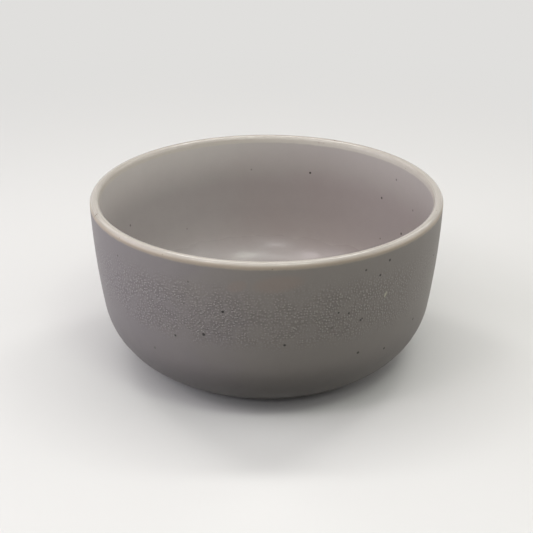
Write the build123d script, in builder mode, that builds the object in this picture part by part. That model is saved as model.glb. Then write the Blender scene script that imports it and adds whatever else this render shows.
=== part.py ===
from build123d import *
from math import asin, cos, degrees, radians, sin, tan
import os

# A shaving bowl in glazed stoneware. One clay body, jiggered on a wheel and turned at the foot, carries four
# fired coats of glaze: the matt coat outside, the satin liner inside, the glossy band round the lip, and the
# disc inside the foot ring. The ring itself stays bare, so that it doesn't stick to the kiln shelf.
#
# Millimetres, +Z up. The origin is the centre of the foot ring's resting face, and +Z is the bowl's axis.
# A place on either side of the wall is given by its heading, the angle in degrees that the surface has turned
# away from plumb: wall_lean just under the lip, and LEVEL where it runs out into the floor or the underside.

# Form, over the glaze
rim_diameter = 130.0  # across the widest part of the lip
bowl_height = 66.5  # from the table to the top of the lip
wall_lean = 1.2  # degrees that the wall leans in, just under the lip
wall_radius = 300.0  # slight bow of the outer wall
belly_radius = 28.0  # turn from the outer wall into the underside

# Thickness, with its glaze on both sides
lip_thickness = 3.4  # the lip is a full round of this width
belly_thickness = 4.4  # where the outer wall starts to turn under
floor_thickness = 5.4  # from the underside up to the floor

# Foot ring
foot_height = 2.2  # how far the ring stands below the glazed underside
foot_inset = 2.0  # step in from the end of the belly to the ring
foot_width = 4.2  # of the ring at its root
foot_draft = 8.0  # degrees of draft on both faces of the ring
foot_round = 0.7  # rounding of the ring's two lower edges
root_round = 0.5  # rounding where the ring meets the underside and the recess
recess_height = 3.0  # of the clay inside the ring, above the table

# Glaze
glaze_thickness = 0.4
bond_line = 0.02  # hairline between a coat and the clay, so that each stays a solid of its own
band_outside = 0.6  # how far the lip's band runs down the outer wall, below the round of the lip
band_inside = 0.6  # and down the inner wall
bare_outside = 0.4  # clay left bare between the outer glaze and the rounding at the ring's root
bare_inside = 0.8  # clay left bare round the disc of glaze in the recess

LEVEL = 90.0  # heading of a level surface
HALF_TURN = 180.0
OUTSIDE = 1  # the way that a coat builds up on each side of the wall, away from the bowl's axis or towards it
INSIDE = -1


def normal(heading):
    """Outward normal, in the section's plane, of a surface with this heading."""
    return Vector(cos(radians(heading)), -sin(radians(heading)))


def lip_edge(side):
    """The point of the clay where the round of the lip ends and this side of the wall starts."""
    return lip_centre + normal(wall_lean) * side * clay_lip_radius


class Flank:
    """One side of the clay wall's section: a wall arc down from the lip, then a belly arc tangent to it."""

    def __init__(self, side, wall_arc, belly_arc, turn):
        self.side = side
        self.wall_radius = wall_arc
        self.belly_radius = belly_arc
        self.turn = turn  # the heading where the wall hands over to the belly
        self.wall_centre = lip_edge(side) - normal(wall_lean) * wall_arc
        self.belly_centre = self.wall_centre + normal(turn) * (wall_arc - belly_arc)

    def heading_below_lip(self, reach):
        """The wall's heading at this distance below the round of the lip."""
        height = lip_edge(self.side).Y - reach
        return degrees(asin((self.wall_centre.Y - height) / self.wall_radius))

    def point(self, heading, coat=0.0):
        """The point with this heading, out from the clay by the coat."""
        if heading < self.turn:
            return self.wall_centre + normal(heading) * (self.wall_radius + self.side * coat)
        return self.belly_centre + normal(heading) * (self.belly_radius + self.side * coat)

    def draw(self, first, last, coat=0.0):
        """Draws the flank from the first heading to the last, out from the clay by the coat."""
        offset = self.side * coat
        if first < self.turn:
            wall_end = min(last, self.turn)
            CenterArc(self.wall_centre, self.wall_radius + offset, -first, first - wall_end)
        if last > self.turn:
            belly_start = max(first, self.turn)
            CenterArc(self.belly_centre, self.belly_radius + offset, -belly_start, belly_start - last)


def draw_lip(coat=0.0):
    """Draws the half round of the lip, from the outer wall over to the inner wall."""
    CenterArc(lip_centre, clay_lip_radius + coat, -wall_lean, HALF_TURN)


def draw_cut(flank, heading):
    """Draws the square cut across a coat where one glaze stops and the next begins."""
    Line(flank.point(heading, bond_line), flank.point(heading, glaze_thickness))


def outer_flank():
    """The outside, whose two arcs are given: only the heading between them is worked out."""
    wall_arc = wall_radius - glaze_thickness
    belly_arc = belly_radius - glaze_thickness
    drop = lip_edge(OUTSIDE).Y - clay_underside
    turn = asin((drop - belly_arc + wall_arc * sin(radians(wall_lean))) / (wall_arc - belly_arc))
    return Flank(OUTSIDE, wall_arc, belly_arc, degrees(turn))


def inner_flank():
    """The inside, whose arcs follow from the lip's edge, the belly's thickness and the floor."""
    shoulder = outer.point(outer.turn) - normal(outer.turn) * (belly_thickness - 2 * glaze_thickness)
    start = lip_edge(INSIDE)
    chord = shoulder - start
    wall_arc = -chord.dot(chord) / (2 * chord.dot(normal(wall_lean)))
    slope = sin(radians(wall_lean)) - chord.Y / wall_arc
    belly_arc = (shoulder.Y - clay_floor) / (1 - slope)
    return Flank(INSIDE, wall_arc, belly_arc, degrees(asin(slope)))


lip_radius = lip_thickness / 2
clay_lip_radius = lip_radius - glaze_thickness
lip_centre = Vector(rim_diameter / 2 - lip_radius, bowl_height - lip_radius)

floor_height = foot_height + floor_thickness
clay_floor = floor_height - glaze_thickness
clay_underside = foot_height + glaze_thickness

outer = outer_flank()
inner = inner_flank()
outer_band_end = outer.heading_below_lip(band_outside)
inner_band_end = inner.heading_below_lip(band_inside)

foot_outer_radius = outer.belly_centre.X - foot_inset
foot_inner_radius = foot_outer_radius - foot_width
foot_taper = tan(radians(foot_draft))
glaze_line_radius = foot_outer_radius + root_round + bare_outside
base_glaze_radius = foot_inner_radius - root_round - bare_inside
glaze_edge_round = 0.75 * glaze_thickness  # a coat rolls over where it ends on bare clay

os.makedirs("parts", exist_ok=True)

# Stoneware body: wall, floor and turned foot ring, in one section from the lip to the axis
with BuildPart() as stoneware_body:
    with BuildSketch(Plane.XZ) as clay_section:
        with BuildLine():
            draw_lip()
            outer.draw(wall_lean, LEVEL)
            inner.draw(wall_lean, LEVEL)
            Polyline(
                outer.point(LEVEL),
                (foot_outer_radius, clay_underside),
                (foot_outer_radius - clay_underside * foot_taper, 0),
                (foot_inner_radius + recess_height * foot_taper, 0),
                (foot_inner_radius, recess_height),
                (0, recess_height),
                (0, clay_floor),
                inner.point(LEVEL),
            )
        make_face()
        resting_corners = clay_section.vertices().group_by(Axis.Y)[0]
        outer_root = clay_section.vertices().sort_by_distance((foot_outer_radius, clay_underside))[0]
        inner_root = clay_section.vertices().sort_by_distance((foot_inner_radius, recess_height))[0]
        fillet(resting_corners, foot_round)
        fillet([outer_root, inner_root], root_round)
    revolve(axis=Axis.Z)
stoneware_body.part.label = "stoneware_body"
export_step(stoneware_body.part, "parts/stoneware_body.step")

# Rim glaze: the glossy band that wraps the lip and stops a little way down each side of the wall
with BuildPart() as rim_glaze:
    with BuildSketch(Plane.XZ):
        with BuildLine():
            for coat in (bond_line, glaze_thickness):
                draw_lip(coat)
                outer.draw(wall_lean, outer_band_end, coat)
                inner.draw(wall_lean, inner_band_end, coat)
            draw_cut(outer, outer_band_end)
            draw_cut(inner, inner_band_end)
        make_face()
    revolve(axis=Axis.Z)
rim_glaze.part.label = "rim_glaze"
export_step(rim_glaze.part, "parts/rim_glaze.step")

# Outer glaze: the matt coat, from the lip's band down the wall and belly to the glaze line by the foot ring
with BuildPart() as outer_glaze:
    with BuildSketch(Plane.XZ) as outer_section:
        with BuildLine():
            draw_cut(outer, outer_band_end)
            for coat in (bond_line, glaze_thickness):
                outer.draw(outer_band_end, LEVEL, coat)
            Polyline(
                outer.point(LEVEL, bond_line),
                (glaze_line_radius, clay_underside - bond_line),
                (glaze_line_radius, foot_height),
                outer.point(LEVEL, glaze_thickness),
            )
        make_face()
        glaze_line = outer_section.vertices().sort_by_distance((glaze_line_radius, foot_height))[0]
        fillet(glaze_line, glaze_edge_round)
    revolve(axis=Axis.Z)
outer_glaze.part.label = "outer_glaze"
export_step(outer_glaze.part, "parts/outer_glaze.step")

# Inner glaze: the satin liner, from the lip's band down the inner wall and across the floor
with BuildPart() as inner_glaze:
    with BuildSketch(Plane.XZ):
        with BuildLine():
            draw_cut(inner, inner_band_end)
            for coat in (bond_line, glaze_thickness):
                inner.draw(inner_band_end, LEVEL, coat)
            Polyline(
                inner.point(LEVEL, bond_line),
                (0, clay_floor + bond_line),
                (0, floor_height),
                inner.point(LEVEL, glaze_thickness),
            )
        make_face()
    revolve(axis=Axis.Z)
inner_glaze.part.label = "inner_glaze"
export_step(inner_glaze.part, "parts/inner_glaze.step")

# Base glaze: the disc of glaze on the roof of the recess, inside the foot ring
with BuildPart() as base_glaze:
    with BuildSketch(Plane.XY.offset(recess_height - glaze_thickness)):
        Circle(base_glaze_radius)
    extrude(amount=glaze_thickness - bond_line)
    fillet(base_glaze.edges().group_by(Axis.Z)[0], glaze_edge_round)
base_glaze.part.label = "base_glaze"
export_step(base_glaze.part, "parts/base_glaze.step")

print(f"foot ring {2 * foot_outer_radius:.1f} mm across, floor {2 * inner.belly_centre.X:.1f} mm across")
print(f"inner wall radius {inner.wall_radius:.1f} mm, inner belly radius {inner.belly_radius:.1f} mm")
print(f"clay over the recess {clay_floor - recess_height:.1f} mm thick")
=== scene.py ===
from math import asin, atan2, cos, degrees, pi, radians, sin, tan

import bmesh
import bpy
from mathutils import Matrix, Vector, noise


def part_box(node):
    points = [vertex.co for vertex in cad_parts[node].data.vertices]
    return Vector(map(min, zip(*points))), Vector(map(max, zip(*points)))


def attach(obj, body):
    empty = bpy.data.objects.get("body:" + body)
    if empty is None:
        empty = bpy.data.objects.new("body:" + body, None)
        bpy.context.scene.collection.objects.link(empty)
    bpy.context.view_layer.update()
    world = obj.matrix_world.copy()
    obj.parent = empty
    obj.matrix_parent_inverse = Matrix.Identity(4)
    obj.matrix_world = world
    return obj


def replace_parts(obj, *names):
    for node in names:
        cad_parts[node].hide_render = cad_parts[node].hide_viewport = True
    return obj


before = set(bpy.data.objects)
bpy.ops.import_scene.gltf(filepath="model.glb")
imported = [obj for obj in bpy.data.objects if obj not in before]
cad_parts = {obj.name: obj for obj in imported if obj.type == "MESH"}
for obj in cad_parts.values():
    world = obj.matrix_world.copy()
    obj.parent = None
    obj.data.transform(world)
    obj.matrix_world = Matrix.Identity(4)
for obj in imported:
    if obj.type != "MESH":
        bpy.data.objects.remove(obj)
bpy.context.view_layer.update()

# ------------------------------------------------------------------------------------------------------------
# Stoneware body: wall, floor and foot ring in one piece of buff clay with iron in it, jiggered on the wheel
# head. Its foot is turned with a loop tool. The glazes are fired onto it, and only the foot ring stays bare.

mm = 0.001
lip_low, lip_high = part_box("rim_glaze")
rim_radius = min(lip_high.x, lip_high.y, -lip_low.x, -lip_low.y)
lip_round = 1.7 * mm  # the lip is a full round of this radius, over its glaze
lip_centre = Vector((rim_radius - lip_round, 0, lip_high.z - lip_round))
wall_lean = 1.2  # degrees from plumb, just under the lip
level = 90.0  # degrees from plumb, where the wall has run out into the floor or the underside
outer_bows = 300.0 * mm, 28.0 * mm  # radii of the wall and of the belly, over the glaze
inner_bows = 211.64 * mm, 23.88 * mm  # so that the clay swells evenly from the lip down to the floor
coat = 0.4 * mm  # glaze on the clay
coat_back = 0.38 * mm  # depth of a coat's own back, a hairline off the clay

floor_height = 7.6 * mm
foot_height = 2.2 * mm
clay_underside = foot_height + coat
recess = 3.0 * mm
foot_inset = 2.0 * mm  # from the end of the belly in to the ring
foot_width = 4.2 * mm  # of the ring at its root
foot_taper = tan(radians(8))  # how fast both faces of the ring close in on each other
foot_round = 0.7 * mm
root_round = 0.5 * mm
most_pinch = 0.0016  # share of its width by which the firing draws a place in, at most
most_droop = 0.0014  # share of its height by which it sinks, at most


def facing(heading):
    """Which way a surface faces, in the section, when it has turned this many degrees from plumb."""
    return Vector((cos(radians(heading)), 0, -sin(radians(heading))))


class Flank:
    """One side of the wall, 1 outside or -1 inside: a slack arc under the lip, then the belly's tight one."""

    def __init__(self, side, bows, ends_at):
        self.side = side
        self.bows = bows
        wall_bow, belly_bow = bows
        wall_centre = lip_centre + facing(wall_lean) * (side * lip_round - wall_bow)
        self.turn = degrees(asin((wall_centre.z - ends_at - belly_bow) / (wall_bow - belly_bow)))
        self.centres = wall_centre, wall_centre + facing(self.turn) * (wall_bow - belly_bow)

    def heading_at(self, height):
        """Heading of the glaze at a height above the table."""
        on_wall, on_belly = (
            degrees(asin(max(-1.0, min(1.0, (centre.z - height) / bow))))
            for centre, bow in zip(self.centres, self.bows)
        )
        return on_wall if on_wall < self.turn else on_belly

    def point(self, heading, under=0.0):
        """Place on the section with this heading, so far under the glaze."""
        arc = heading > self.turn
        return self.centres[arc] + facing(heading) * (self.bows[arc] - self.side * under)

    def draw(self, section, first, last, fine=1.2 * mm):
        """Carries a section along this side from one heading to another, at the depth where its tip is."""
        stops = [first, last]
        if min(stops) < self.turn < max(stops):
            stops.insert(1, self.turn)
        for start, end in zip(stops, stops[1:]):
            arc = start + end > 2 * self.turn
            length = radians(abs(end - start)) * self.bows[arc]
            section.arc(self.centres[arc], end - start, max(1, round(length / fine)))


class Section:
    """Half of a turned piece, drawn in one line beside the wheel's axis and then spun round it."""

    def __init__(self, start):
        self.shell = bmesh.new()
        self.along = self.shell.verts.layers.float.new("along")
        self.start = self.tip = bmesh.ops.create_vert(self.shell, co=start)["vert"][0]
        self.marks = []

    def line(self, end, steps=1):
        """Draws a straight run, and gives back the corner that it ends in."""
        stride = (Vector(end) - self.tip.co) / steps
        for _ in range(steps):
            self.tip = bmesh.ops.extrude_vert_indiv(self.shell, verts=[self.tip])["verts"][0]
            bmesh.ops.translate(self.shell, vec=stride, verts=[self.tip])
        return self.tip

    def arc(self, centre, turned, steps):
        """Draws an arc, by turning the tip round the arc's centre."""
        spun = bmesh.ops.spin(
            self.shell, geom=[self.tip], cent=centre, axis=(0, 1, 0), angle=radians(turned), steps=steps
        )
        self.tip = spun["geom_last"][0]

    def mark(self):
        """Ends a patch of the bake's map at the tip."""
        self.marks.append(self.tip)

    def round_off(self, corner, radius, steps):
        """Rounds a corner to a radius."""
        one, other = (edge.other_vert(corner).co - corner.co for edge in corner.link_edges)
        bmesh.ops.bevel(
            self.shell, geom=[corner], offset=radius / tan(one.angle(other) / 2), offset_type="OFFSET",
            affect="VERTICES", segments=steps, profile=0.5, material=-1,
        )

    def measure(self):
        """Notes how far along the section each point is, and gives back where each patch of the map ends."""
        vert, edge = self.start, None
        while len(vert.link_edges) > (edge is not None):
            edge = next(link for link in vert.link_edges if link is not edge)
            edge.other_vert(vert)[self.along] = vert[self.along] + edge.calc_length()
            vert = edge.other_vert(vert)
        return [0.0, *(mark[self.along] for mark in self.marks), vert[self.along]]

    def spin_shell(self, patches, steps=256):
        """Spins the section into a closed shell, maps it for the bake, and draws it a hair out of true."""
        shell, stops = self.shell, self.measure()
        bmesh.ops.spin(
            shell, geom=shell.verts[:] + shell.edges[:], cent=(0, 0, 0), axis=(0, 0, 1), angle=2 * pi,
            steps=steps, use_merge=True,
        )
        lay_flat(shell, stops, patches)
        bmesh.ops.remove_doubles(shell, verts=shell.verts, dist=0.001 * mm)
        bmesh.ops.recalc_face_normals(shell, faces=shell.faces)
        for vert in shell.verts:
            pinch = 0.5 + 0.5 * noise.noise(vert.co / (38 * mm))
            droop = 0.5 + 0.5 * noise.noise(vert.co / (45 * mm) + Vector((7, 3, 1)))
            vert.co.xy *= 1 - most_pinch * pinch
            vert.co.z *= 1 - most_droop * droop
        return shell


def lay_flat(shell, stops, patches):
    """Maps the shell for the bake. Each patch of the section has its (columns, rows) of sectors, or None for
    a disc, and its box on the map."""
    along = shell.verts.layers.float["along"]
    flat = shell.loops.layers.uv.new("OFBake")
    gap = 0.01  # share of a sector that is left free at each of its edges
    for face in shell.faces:
        middle = sum(vert[along] for vert in face.verts) / len(face.verts)
        which = sum(middle > stop for stop in stops[1:-1])
        sectors, (left, bottom, right, top) = patches[which]
        reach = stops[which + 1] - stops[which]
        centre = face.calc_center_median()
        round_at = atan2(centre.y, centre.x) % (2 * pi)
        for loop in face.loops:
            spot = loop.vert.co
            if sectors:
                columns, rows = sectors
                share = round_at / (2 * pi) * columns * rows
                lean = (atan2(spot.y, spot.x) - round_at + pi) % (2 * pi) - pi
                across = share % 1 + lean / (2 * pi) * columns * rows
                up = (loop.vert[along] - stops[which]) / reach
                column, row = int(share) % columns, int(share) // columns
            else:
                columns, rows, column, row = 1, 1, 0, 0
                across, up = 0.5 + 0.5 * spot.x / reach, 0.5 + 0.5 * spot.y / reach
            loop[flat].uv = (
                left + (right - left) / columns * (column + gap + (1 - 2 * gap) * across),
                bottom + (top - bottom) / rows * (row + gap + (1 - 2 * gap) * up),
            )


def set_piece(shell, name, finish, node):
    """Makes a shell a piece of the bowl, in the place of its solid."""
    mesh = bpy.data.meshes.new(name)
    shell.to_mesh(mesh)
    shell.free()
    mesh.shade_smooth()
    mesh.set_sharp_from_angle(angle=radians(35))
    mesh.materials.append(finish)
    piece = bpy.data.objects.new(name, mesh)
    bpy.context.scene.collection.objects.link(piece)
    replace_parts(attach(piece, "root"), node)


class Wire:
    """A socket among a finish's nodes. Arithmetic on wires adds Math nodes."""

    def __init__(self, tree, socket=None):
        self.tree = tree
        self.socket = socket

    def node(self, kind, settings, sockets, output=0):
        """Adds a node of any kind: its settings first, then the values or wires of its sockets."""
        added = self.tree.nodes.new("ShaderNode" + kind)
        for setting, value in settings.items():
            setattr(added, setting, value)
        for name, value in sockets.items():
            if isinstance(value, Wire):
                self.tree.links.new(value.socket, added.inputs[name])
            else:
                added.inputs[name].default_value = value
        return Wire(self.tree, added.outputs[output])

    def math(self, operation, *values):
        """Adds a Math node on these values or wires."""
        return self.node("Math", {"operation": operation}, dict(enumerate(values)))

    def __add__(self, other):
        return self.math("ADD", self, other)

    def __radd__(self, other):
        return self.math("ADD", other, self)

    def __sub__(self, other):
        return self.math("SUBTRACT", self, other)

    def __rsub__(self, other):
        return self.math("SUBTRACT", other, self)

    def __mul__(self, other):
        return self.math("MULTIPLY", self, other)

    def __rmul__(self, other):
        return self.math("MULTIPLY", other, self)

    def vector(self, operation, *others, output="Vector"):
        """Vector Math on this wire and others."""
        return self.node("VectorMath", {"operation": operation}, dict(enumerate((self, *others))), output)

    def scaled(self, times):
        """This vector made so many times as long, or this colour so many times as bright."""
        return self.node("VectorMath", {"operation": "SCALE"}, {0: self, "Scale": times})

    def coordinate(self, axis):
        """This place's X, Y or Z."""
        return self.node("SeparateXYZ", {}, {0: self}, axis)

    def ease(self, none, full, most=1.0):
        """0 at one value of this wire and the most at another, with soft ends."""
        sockets = {"Value": self, "From Min": none, "From Max": full, "To Max": most}
        return self.node("MapRange", {"interpolation_type": "SMOOTHSTEP"}, sockets)

    def tint(self, without, having):
        """One colour where this wire is 0, and another where it is 1."""
        return self.node("Mix", {"data_type": "RGBA"}, {0: self, 6: without, 7: having}, 2)


def fired(red, green, blue):
    """A fired colour, from its screen values."""
    return *(((value / 255 + 0.055) / 1.055) ** 2.4 for value in (red, green, blue)), 1.0


def new_finish(name):
    """An empty finish, and the place on the bowl in millimetres for its nodes to start from."""
    finish = bpy.data.materials.new(name)
    finish.use_nodes = True
    place = Wire(finish.node_tree).node("TexCoord", {}, {}, "Object")
    return finish, place.scaled(1 / mm)


def cloud(place, size, detail=2.0):
    """Soft patches from 0 to 1, about this many millimetres across."""
    return place.node("TexNoise", {}, {"Vector": place, "Scale": 1 / size, "Detail": detail})


def from_axis(place):
    """How many millimetres a place is from the bowl's axis."""
    return place.vector("MULTIPLY", (1.0, 1.0, 0.0)).vector("LENGTH", output="Value")


def finish_off(finish, colour, roughness, relief):
    """Joins colour, roughness and relief, a height in millimetres, to the finish's shader."""
    shader = finish.node_tree.nodes["Principled BSDF"]
    normal = relief.node("Bump", {}, {"Strength": 1.0, "Distance": mm, "Height": relief})
    for name, wire in (("Base Color", colour), ("Roughness", roughness), ("Normal", normal)):
        finish.node_tree.links.new(wire.socket, shader.inputs[name])
    return finish


def bare_clay():
    """Buff stoneware as it leaves the kiln: grog, iron, and the rings that the loop tool cut in the foot."""
    finish, place = new_finish("bare_clay")
    grain, patch = cloud(place, 0.45, 3.0), cloud(place, 7.0)
    sockets = {"W": from_axis(place), "Scale": 2.2, "Detail": 3.0}
    rings = place.node("TexNoise", {"noise_dimensions": "1D"}, sockets)
    iron = place.node("TexVoronoi", {}, {"Vector": place, "Scale": 0.55}).ease(0.26, 0.14)
    colour = patch.ease(0.35, 0.65).tint(fired(190, 173, 150), fired(178, 158, 133))
    colour = iron.ease(0.0, 1.4).tint(colour.scaled(0.86 + 0.28 * grain), fired(104, 76, 56))
    return finish_off(finish, colour, 0.72 + 0.2 * grain, 0.05 * rings + 0.03 * grain)


outer = Flank(1, outer_bows, foot_height)
inner = Flank(-1, inner_bows, floor_height)
belly_end = outer.centres[1].x
foot_outer = belly_end - foot_inset
foot_inner = foot_outer - foot_width

body = Section((0, 0, recess))
body.line((foot_inner - 2 * mm, 0, recess), steps=14)
body.mark()
inner_root = body.line((foot_inner, 0, recess), steps=4)
inner_toe = body.line((foot_inner + recess * foot_taper, 0, 0))
outer_toe = body.line((foot_outer - clay_underside * foot_taper, 0, 0))
outer_root = body.line((foot_outer, 0, clay_underside))
body.line((belly_end, 0, clay_underside), steps=2)
body.mark()
outer.draw(body, level, wall_lean, fine=2.0 * mm)
body.arc(lip_centre, -180, 16)
inner.draw(body, wall_lean, level, fine=2.0 * mm)
body.mark()
body.line((0, 0, floor_height - coat), steps=14)
for corner in (inner_toe, outer_toe):
    body.round_off(corner, foot_round, 6)
for corner in (inner_root, outer_root):
    body.round_off(corner, root_round, 4)
turned_body = body.spin_shell([
    (None, (0.0, 0.0, 0.25, 0.25)),
    ((1, 4), (0.0, 0.4, 1.0, 1.0)),
    ((2, 1), (0.0, 0.25, 1.0, 0.4)),
    (None, (0.25, 0.0, 0.5, 0.25)),
])
set_piece(turned_body, "clay_body", bare_clay(), "stoneware_body")

# ------------------------------------------------------------------------------------------------------------
# Matt coat: the grey stoneware glaze outside, poured over the upturned bowl and wiped back above the foot. It
# is dry and stony, breaks up into small beads in a band half-way up, and the clay's iron has come through it.

matt_edge = fired(188, 175, 158)  # tan, where the glaze is at its thinnest below the lip
matt_breaks = 0.4, 1.5, 1.9, 2.8  # millimetres below the top of the lip
blush = fired(163, 144, 132)  # where iron from the clay has warmed the glaze
pale_fleck = fired(198, 194, 178)
# degrees round from the front, height, radius, strength
outside_iron = [
    (-13, 48, 0.48, 1.0), (-19.5, 38, 0.58, 1.0), (-29.5, 35, 0.4, 0.95), (5.5, 35.5, 0.46, 1.0),
    (30, 41, 0.42, 1.0), (30.5, 41.5, 0.34, 0.9), (22, 46, 0.34, 1.0), (25.5, 45, 0.38, 0.85),
    (20, 40.5, 0.4, 0.35), (30.5, 27.5, 0.48, 0.95), (42, 25, 0.42, 0.9), (36, 56.5, 0.46, 0.9),
    (39.5, 61, 0.46, 0.8), (30.5, 60, 0.38, 0.75), (57, 30.5, 0.46, 0.8), (-23.5, 57.5, 0.36, 0.4),
    (-39, 26.5, 0.48, 0.4), (68, 51, 0.38, 0.8), (77, 34, 0.44, 0.9), (93, 58, 0.34, 0.6),
    (104, 27, 0.46, 0.9), (118, 46, 0.38, 0.7), (127, 55, 0.42, 0.4), (139, 37, 0.5, 1.0),
    (152, 21, 0.38, 0.5), (161, 52, 0.36, 0.9), (174, 43, 0.44, 0.8), (-171, 30, 0.44, 0.9),
    (-158, 59, 0.38, 0.4), (-149, 47, 0.34, 0.8), (-133, 33, 0.48, 0.9), (-121, 54, 0.4, 0.6),
    (-109, 41, 0.4, 1.0), (-96, 24, 0.42, 0.5), (-84, 50, 0.36, 0.8), (-66, 44, 0.38, 0.5),
    (-52, 58, 0.34, 0.6),
]
glaze_line = foot_outer + 0.9 * mm  # radius where the wiped edge lies, just clear of the ring
rolled_round = 0.3 * mm  # a coat rolls over where it ends on bare clay
outer_band_end = outer.heading_at(64.17 * mm)  # where this coat meets the lip's band


def on_side(flank, round_at, height):
    """Place in millimetres on a side of the wall, so many degrees round from the front and so high."""
    reach = flank.point(flank.heading_at(height * mm)).x / mm
    return reach * sin(radians(round_at)), -reach * cos(radians(round_at)), height


def iron_spots(place, spots):
    """How much iron shows, from 0 to 1, in spots that have a middle, a radius in millimetres, a strength."""
    ragged = place.node("TexNoise", {}, {"Vector": place, "Scale": 2.2, "Detail": 1.0}, "Color")
    place = place.vector("ADD", ragged.vector("SUBTRACT", (0.5, 0.5, 0.5)).scaled(0.22))
    shown = 0.0
    for middle, radius, strength in spots:
        away = place.vector("DISTANCE", middle, output="Value")
        shown = place.math("MAXIMUM", away.ease(1.4 * radius, 0.65 * radius, strength), shown)
    return shown


def matt_grey(place):
    """The matt glaze's grey, with a fine stony grain. It is cooler on the left and warmer on the right, in
    drifts;
    the cool left is painted light, the tint of the cool lamp on that side. Darker towards the foot is painted
    shade."""
    x, height = place.coordinate("X"), place.coordinate("Z")
    # painted light: a cool tint on the left and a warmer one on the right, broken by soft drifts
    drift = (x * 0.008 + 0.5 + 0.5 * (cloud(place, 17.0) - 0.5)).ease(0.05, 0.6)
    colour = drift.tint(fired(148, 142, 142), fired(151, 145, 139))
    mottled = 0.93 + 0.08 * cloud(place, 5.0) + 0.06 * cloud(place, 0.5)
    # painted shade: the grey is made darker towards the foot
    return colour.scaled(mottled - 0.24 * height.ease(38.0, 10.0))


def beads(place, round_at, height):
    """Relief of the beads that the matt glaze breaks into: above 0 on a bead and below 0 in the gaps. It is
    strongest in front, and stops short of the seam at the back where the pattern's two ends meet."""
    unrolled = place.node("CombineXYZ", {}, {0: round_at * (rim_radius / mm * pi / 180), 1: height})
    sockets = {"Vector": unrolled, "Scale": 0.9, "Randomness": 0.8}
    dome = place.node("TexVoronoi", {"voronoi_dimensions": "2D"}, sockets).ease(0.45, 0.05)
    beaded_band = height.ease(31.0, 39.0) * height.ease(61.0, 51.0)
    off_seam = place.math("ABSOLUTE", round_at).ease(178.0, 160.0)
    front = place.math("ABSOLUTE", round_at + 8.0).ease(76.0, 30.0)
    patchy = cloud(place, 6.0).ease(0.35, 0.52) * cloud(place, 2.2).ease(0.28, 0.55)
    return (dome - 0.3) * (beaded_band * off_seam) * (0.25 + 0.75 * front) * (0.25 + 0.75 * patchy)


def blotch(place, round_at, height, lean, long, wide):
    """How much shows of a soft long blotch, which leans so many degrees from upright."""
    turned = Matrix.Rotation(radians(round_at), 3, "Z") @ Matrix.Rotation(radians(lean), 3, "Y")
    away = place.vector("SUBTRACT", on_side(outer, round_at, height))
    off = 0.0
    for way, size in ((turned.col[2], long), (turned.col[0], wide), (turned.col[1], 4 * long)):
        share = away.vector("DOT_PRODUCT", way / (size / 2), output="Value")
        off = share * share + off
    return off.ease(1.5, 0.3)


def broken_over_lip(place, glaze, edge, depth, breaks):
    """A glaze's colour where it breaks to cream on the lip and then to an edge of its own, and how much of it
    is whole. Each change begins and ends at a depth in millimetres below the top of the lip."""
    depth = depth + 0.5 * (cloud(place, 4.0) - 0.5)
    whole = depth.ease(breaks[2], breaks[3])
    cream = depth.ease(breaks[0], breaks[1]).tint(fired(172, 164, 154), edge)
    return whole.tint(cream, glaze), whole


def waver(shell, edge, reach, most):
    """Lets a glaze's edge wander in and out, as a wiped or brushed one does, and steadies within a reach."""
    for vert in shell.verts:
        out = vert.co.xy.length
        near = max(0.0, 1.0 - abs(out - edge) / reach)
        if near:
            wander = noise.noise(4.0 * vert.co.xy.normalized().to_3d())
            wander += 0.5 * noise.noise(vert.co / (4 * mm))
            vert.co.xy *= 1 + near * most * wander / out


def matt_glaze():
    """The outside's finish: matt grey with beads, two blushes, a pale fleck and the clay's iron."""
    finish, place = new_finish("matt_glaze")
    x, y, height = (place.coordinate(axis) for axis in "XYZ")
    round_at = place.math("DEGREES", place.math("ARCTAN2", x, 0.0 - y))
    spots = [(on_side(outer, *at), radius, strength) for *at, radius, strength in outside_iron]
    iron = iron_spots(place, spots)
    beaded = beads(place, round_at, height)
    depth = lip_high.z / mm - height
    colour, whole = broken_over_lip(place, matt_grey(place), matt_edge, depth, matt_breaks)
    # painted highlight and shade: the bead tops are made lighter, as glints, and the gaps between them darker
    colour = colour.scaled(1.0 + 0.48 * beaded)
    colour = (0.36 * blotch(place, 3.4, 59.0, lean=84.0, long=17.0, wide=6.0)).tint(colour, blush)
    colour = (0.3 * blotch(place, -8.5, 58.0, lean=70.0, long=7.0, wide=4.0)).tint(colour, blush)
    colour = blotch(place, 39.0, 48.2, lean=30.0, long=2.3, wide=1.0).tint(colour, pale_fleck)
    colour = iron.tint(colour, fired(30, 25, 23))
    roughness = 0.44 + 0.08 * whole - 0.16 * beaded - 0.12 * iron
    relief = 0.15 * beaded + 0.012 * cloud(place, 0.6) + 0.04 * cloud(place, 3.5, 1.0) - 0.05 * iron
    return finish_off(finish, colour, roughness, relief)


matt = Section(outer.point(outer_band_end))
outer.draw(matt, outer_band_end, level)
wiped_edge = matt.line((glaze_line, 0, foot_height))
matt.line((glaze_line, 0, foot_height + coat_back))
matt.round_off(wiped_edge, rolled_round, 5)
matt.mark()
matt.line(outer.point(level, coat_back))
outer.draw(matt, level, outer_band_end, fine=3.0 * mm)
matt.line(outer.point(outer_band_end))
poured = matt.spin_shell([((2, 2), (0.0, 0.05, 1.0, 1.0)), ((1, 1), (0.0, 0.0, 1.0, 0.05))])
waver(poured, glaze_line, 2.5 * mm, 0.3 * mm)
set_piece(poured, "matt_coat", matt_glaze(), "outer_glaze")

# ------------------------------------------------------------------------------------------------------------
# Satin liner: the glaze of the inside, swilled round the bowl and poured out, so it lies smooth down the wall
# and across the floor. It is softer and shinier than the matt coat, for lather and a brush to slide on.

# pale edge of the satin glaze below the lip: partly its thin break, and partly painted light on the lip's
# inner side
satin_edge = fired(208, 203, 193)
satin_breaks = 0.6, 1.8, 2.4, 3.2  # millimetres below the top of the lip
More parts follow.
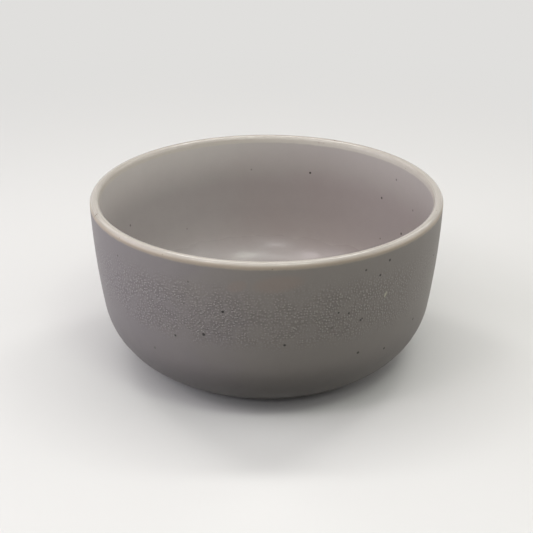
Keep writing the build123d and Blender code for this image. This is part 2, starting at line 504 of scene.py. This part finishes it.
# degrees round from the front, height, radius, strength
inside_iron = [
    (162.5, 51.5, 0.44, 1.0), (-174, 52, 0.36, 0.4), (129.5, 48, 0.44, 0.9), (122.5, 58, 0.44, 0.55),
    (109.5, 50, 0.42, 0.6), (115, 38, 0.48, 1.0), (127, 31.5, 0.34, 0.5), (-115, 41.5, 0.46, 0.6),
    (-145, 30.5, 0.32, 0.4), (21, 46, 0.36, 0.8), (48, 33, 0.42, 0.9), (75, 55, 0.36, 0.6),
    (-12, 29, 0.36, 0.7), (-37, 51, 0.44, 0.9), (-63, 38, 0.34, 0.5), (-86, 57, 0.38, 0.7),
]
# place across and along the floor, radius, strength
floor_iron = [(9, -14, 0.34, 0.9), (-18, 6, 0.3, 0.6), (22, 12, 0.36, 0.8), (-7, 25, 0.28, 0.5)]
inner_band_end = inner.heading_at(64.22 * mm)  # where this coat meets the lip's band


def satin_grey(place):
    """The satin glaze's grey, with painted light in it: paler on the left and pinker on the right, a little
    lighter low on the wall, and pale up to the lip, most of all on the left. Its soft mottling is its own."""
    x, height = place.coordinate("X"), place.coordinate("Z")
    # painted light: paler on the left and pinker on the right
    drift = (x * 0.009 + 0.5 + 0.4 * (cloud(place, 20.0) - 0.5)).ease(0.1, 0.75)
    colour = drift.tint(fired(176, 171, 168), fired(168, 158, 155))
    # painted light: a little lighter low on the wall, and pale towards the lip, most of all on the left
    painted_light_low, thin = height.ease(36.0, 24.0), height.ease(44.0, 66.0)
    thin = thin * (0.5 + 0.5 * x.ease(30.0, -40.0))
    colour = thin.tint(colour.scaled(0.83 + 0.1 * painted_light_low), fired(205, 201, 196))
    return colour.scaled(0.95 + 0.06 * cloud(place, 6.0) + 0.04 * cloud(place, 0.7))


def satin_glaze():
    """The inside's finish: smooth satin grey with the clay's iron, a little shinier on the floor."""
    finish, place = new_finish("satin_glaze")
    height = place.coordinate("Z")
    spots = [(on_side(inner, *at), radius, strength) for *at, radius, strength in inside_iron]
    spots += [((x, y, floor_height / mm), radius, strength) for x, y, radius, strength in floor_iron]
    iron = iron_spots(place, spots)
    depth = lip_high.z / mm - height
    colour, whole = broken_over_lip(place, satin_grey(place), satin_edge, depth, satin_breaks)
    colour = iron.tint(colour, fired(36, 30, 28))
    roughness = 0.215 + 0.07 * height.ease(18.0, 32.0) + 0.02 * whole + 0.03 * cloud(place, 8.0)
    relief = 0.008 * cloud(place, 0.8) + 0.06 * cloud(place, 4.0, 1.0) - 0.04 * iron
    return finish_off(finish, colour, roughness, relief)


liner = Section((0, 0, floor_height))
liner.line(inner.point(level), steps=20)
liner.mark()
inner.draw(liner, level, inner_band_end)
liner.mark()
liner.line(inner.point(inner_band_end, coat_back))
inner.draw(liner, inner_band_end, level, fine=3.0 * mm)
liner.mark()
liner.line((0, 0, floor_height - coat_back), steps=8)
swilled = liner.spin_shell([
    (None, (0.0, 0.0, 0.36, 0.36)),
    ((2, 2), (0.0, 0.36, 1.0, 1.0)),
    ((2, 1), (0.36, 0.0, 1.0, 0.18)),
    (None, (0.36, 0.18, 0.54, 0.36)),
])
set_piece(swilled, "satin_liner", satin_glaze(), "inner_glaze")

# ------------------------------------------------------------------------------------------------------------
# Lip band: where the two glazes meet over the lip they run thin, go glossy and turn cream with a tan edge. It
# has a hairline nick at the left and a small chip at the back, both from knocks after it was fired.

lip_knocks = [  # degrees round from the front, heading of its middle, half size along and over the lip, depth
    (-69.4, -50.0, 0.28 * mm, 1.5 * mm, 0.22 * mm),
    (153.5, -92.0, 0.5 * mm, 0.65 * mm, 0.35 * mm),
]


def knock(ring, round_at, heading, along, over, deep):
    """Cuts the faces fine at one place on the lip, presses a ragged nick into them, and marks the clay."""
    turned = Matrix.Rotation(radians(round_at - 90), 3, "Z")
    out, forward = turned @ facing(heading), turned @ Vector((0, 1, 0))
    across = out.cross(forward)
    middle = turned @ (lip_centre + lip_round * facing(heading))
    knocked = ring.verts.layers.float["knocked"]
    reach = ring.verts.layers.float["reach"]
    for vert in ring.verts:
        vert[reach] = vert.co.xy.length
    hoops = []
    for edge in ring.edges:
        start, end = (vert.co for vert in edge.verts)
        away = (start + end) / 2 - middle
        along_lip = abs((end - start).dot(forward)) > 0.9 * edge.calc_length()
        if along_lip and away.length < 2 * lip_round + along and abs(away.dot(forward)) < mm + along:
            hoops.append(edge)
    bmesh.ops.subdivide_edges(ring, edges=hoops, cuts=11)
    for vert in ring.verts:
        vert.co.xy *= vert[reach] / vert.co.xy.length
        away = vert.co - middle
        sizes = (forward, along), (across, over), (out, mm)
        share = 1.0 - sum((away.dot(way) / size) ** 2 for way, size in sizes)
        if share > 0:
            ragged = 0.5 * noise.noise(vert.co / (0.3 * mm))
            pressed = min(1.0, share * (1.2 + ragged))
            vert.co -= deep * pressed * out
            vert[knocked] = max(vert[knocked], pressed)


def lip_glaze():
    """The lip's finish: both glazes run thin and shiny, with iron freckles, and clay where it is chipped."""
    finish, place = new_finish("lip_glaze")
    crest = lip_centre.x / mm
    outside = from_axis(place).ease(crest - 0.4, crest + 0.4)
    depth = lip_high.z / mm - place.coordinate("Z")
    # both greys bring their painted light onto the lip: the matt grey's cool left, the satin grey's pale
    # inside
    outside_colour, _ = broken_over_lip(place, matt_grey(place), matt_edge, depth, matt_breaks)
    inside_colour, _ = broken_over_lip(place, satin_grey(place), satin_edge, depth, satin_breaks)
    freckles = place.node("TexVoronoi", {}, {"Vector": place, "Scale": 0.3}).ease(0.12, 0.04)
    colour = outside.tint(inside_colour, outside_colour)
    colour = colour.scaled(0.96 + 0.08 * cloud(place, 1.2))
    colour = (0.4 * freckles).tint(colour, fired(122, 96, 74))
    knocked = place.node("Attribute", {"attribute_name": "knocked"}, {}, "Fac")
    colour = knocked.ease(0.1, 0.7).tint(colour, fired(104, 86, 72))
    shine = depth.ease(1.2, 0.25) * (1 - knocked)
    roughness = 0.26 + (0.05 + 0.13 * outside) * (1 - shine) + 0.3 * knocked
    shader = finish.node_tree.nodes["Principled BSDF"]
    finish.node_tree.links.new(shine.socket, shader.inputs["Coat Weight"])
    shader.inputs["Coat Roughness"].default_value = 0.1
    return finish_off(finish, colour, roughness, 0.016 * cloud(place, 3.0, 1.0))


band = Section(outer.point(outer_band_end))
outer.draw(band, outer_band_end, wall_lean, fine=0.3 * mm)
band.arc(lip_centre, -180, 30)
inner.draw(band, wall_lean, inner_band_end, fine=0.3 * mm)
band.mark()
band.line(inner.point(inner_band_end, coat_back))
inner.draw(band, inner_band_end, wall_lean)
band.arc(lip_centre, 180, 12)
outer.draw(band, wall_lean, outer_band_end)
band.line(outer.point(outer_band_end))
ring = band.spin_shell([((1, 8), (0.0, 0.2, 1.0, 1.0)), ((1, 4), (0.0, 0.0, 1.0, 0.2))])
# how far out each place lies, kept while the faces are cut, and how far the clay is bared
for name in ("reach", "knocked"):
    ring.verts.layers.float.new(name)
for hit in lip_knocks:
    knock(ring, *hit)
set_piece(ring, "lip_band", lip_glaze(), "rim_glaze")

# ------------------------------------------------------------------------------------------------------------
# Recess disc: a pool of the matt glaze on the roof of the recess, inside the foot ring, dabbed on with a
# brush. It stops short of the ring in a fat rolled edge, so that it can't stick to the kiln shelf.

disc_radius = foot_inner - 1.3 * mm
disc_face = recess - coat
disc_back = disc_face + coat_back


def recess_glaze():
    """The recess's finish: the matt grey, left thick and uneven by the brush."""
    finish, place = new_finish("recess_glaze")
    # the matt grey's painted shade towards the foot is at its darkest on this disc
    colour = matt_grey(place)
    return finish_off(finish, colour, 0.5 + 0.06 * cloud(place, 2.0), 0.03 * cloud(place, 2.5))


disc = Section((0, 0, disc_face))
dabbed_edge = disc.line((disc_radius, 0, disc_face), steps=20)
disc.line((disc_radius, 0, disc_back))
disc.round_off(dabbed_edge, rolled_round, 5)
disc.mark()
disc.line((0, 0, disc_back), steps=6)
dabbed = disc.spin_shell([(None, (0.0, 0.0, 0.75, 0.75)), (None, (0.75, 0.75, 1.0, 1.0))], steps=128)
waver(dabbed, disc_radius, 5 * mm, 0.7 * mm)
set_piece(dabbed, "recess_disc", recess_glaze(), "base_glaze")

# ------------------------------------------------------------------------------------------------------------
# Table, light and camera: a plain pale table with soft lights all round, seen from a little above. The table
# looks pale but throws little light back, and it fades into surroundings that are as pale as it is.

pale, black = fired(224, 223, 221), (0.0, 0.0, 0.0, 1.0)
table_top = fired(220, 219, 217)
thrown_back = fired(44, 44, 46)


def looked_at(tree):
    """1 where a ray comes from the eye, or by way of gloss or glass, and 0 where it only carries light."""
    wire = Wire(tree)
    eye, gloss, glass = (
        wire.node("LightPath", {}, {}, f"Is {ray} Ray") for ray in ("Camera", "Glossy", "Transmission")
    )
    return wire.math("MAXIMUM", eye, wire.math("MAXIMUM", gloss, glass))


def pale_table():
    """Lit near the bowl, so that it keeps the bowl's shadow, and as even as the surroundings beyond."""
    finish, place = new_finish("pale_table")
    seen = looked_at(finish.node_tree)
    beyond = place.vector("LENGTH", output="Value").ease(140.0, 450.0)
    shader = finish.node_tree.nodes["Principled BSDF"]
    lit = seen.tint(thrown_back, beyond.tint(table_top, black))
    glow = (seen * beyond).tint(black, pale)
    for name, wire in (("Base Color", lit), ("Emission Color", glow)):
        finish.node_tree.links.new(wire.socket, shader.inputs[name])
    shader.inputs["Emission Strength"].default_value = 1.0
    shader.inputs["Roughness"].default_value = 0.8
    shader.inputs["Specular IOR Level"].default_value = 0.0
    return finish


bpy.ops.mesh.primitive_plane_add(size=6, location=(0, 0, 0))
table = bpy.context.active_object
table.name = "table"
table.data.materials.append(pale_table())

surroundings = bpy.data.worlds.new("surroundings")
surroundings.use_nodes = True
surroundings.node_tree.links.new(
    looked_at(surroundings.node_tree).tint(black, pale).socket,
    surroundings.node_tree.nodes["Background"].inputs["Color"],
)
bpy.context.scene.world = surroundings


def softbox(name, at, aim, width, height, power, colour):
    """A soft lamp of this size, which shines from one place towards another."""
    light = bpy.data.lights.new(name, "AREA")
    light.shape = "RECTANGLE"
    light.size, light.size_y, light.energy, light.color = width, height, power, colour
    lamp = bpy.data.objects.new(name, light)
    lamp.location = at
    lamp.rotation_euler = (Vector(aim) - Vector(at)).to_track_quat("-Z", "Y").to_euler()
    bpy.context.scene.collection.objects.link(lamp)


# what the lamps are aimed at, on the bowl's axis
lip, bowl, wall, floor = (0, 0, 0.06), (0, 0, 0.05), (0, 0, 0.04), (0, 0, 0.02)
softbox("overhead", (0, -0.45, 1.25), bowl, 2.0, 1.5, 8.9, (1.0, 0.99, 0.98))
softbox("left_window", (-1.0, -0.15, 0.35), wall, 0.9, 0.8, 6.7, (0.9, 0.89, 0.97))
softbox("right_wall", (1.0, -0.1, 0.4), wall, 0.9, 0.8, 3.1, (1.0, 0.98, 0.97))
softbox("right_lamp", (0.233, -0.524, 0.84), floor, 0.24, 0.16, 0.84, (0.9, 0.99, 0.85))
softbox("left_lamp", (-0.5, -0.482, 0.74), floor, 0.2, 0.16, 0.85, (1.0, 0.93, 0.97))
softbox("front_strip", (-0.1, -0.5, 0.88), floor, 0.9, 0.14, 1.35, (1.0, 1.0, 0.99))
softbox("front_lamp", (-0.115, -0.821, 0.58), floor, 0.25, 0.06, 0.68, (1.0, 1.0, 1.0))
softbox("back_strip", (0, 0.3, 1.1), lip, 1.2, 0.12, 4.6, (1.0, 0.99, 0.97))
softbox("back_left_strip", (-0.62, 0.55, 0.88), lip, 0.2, 0.9, 1.6, (1.0, 0.99, 0.97))
softbox("back_right_strip", (0.62, 0.55, 0.88), lip, 0.2, 0.9, 1.7, (1.0, 0.99, 0.97))

picture_width, focal_length = 533, 1200  # pixels
lens = bpy.data.cameras.new("viewpoint")
lens.sensor_width = 36
lens.lens = focal_length / picture_width * lens.sensor_width
lens.clip_start = 0.01
viewpoint = bpy.data.objects.new("viewpoint", lens)
viewpoint.location = (0, -0.4142, 0.2287)
viewpoint.rotation_euler = (radians(64.97), 0, 0)  # 25 degrees down from level
bpy.context.scene.collection.objects.link(viewpoint)
bpy.context.scene.camera = viewpoint
bpy.context.scene.view_settings.view_transform = "Standard"
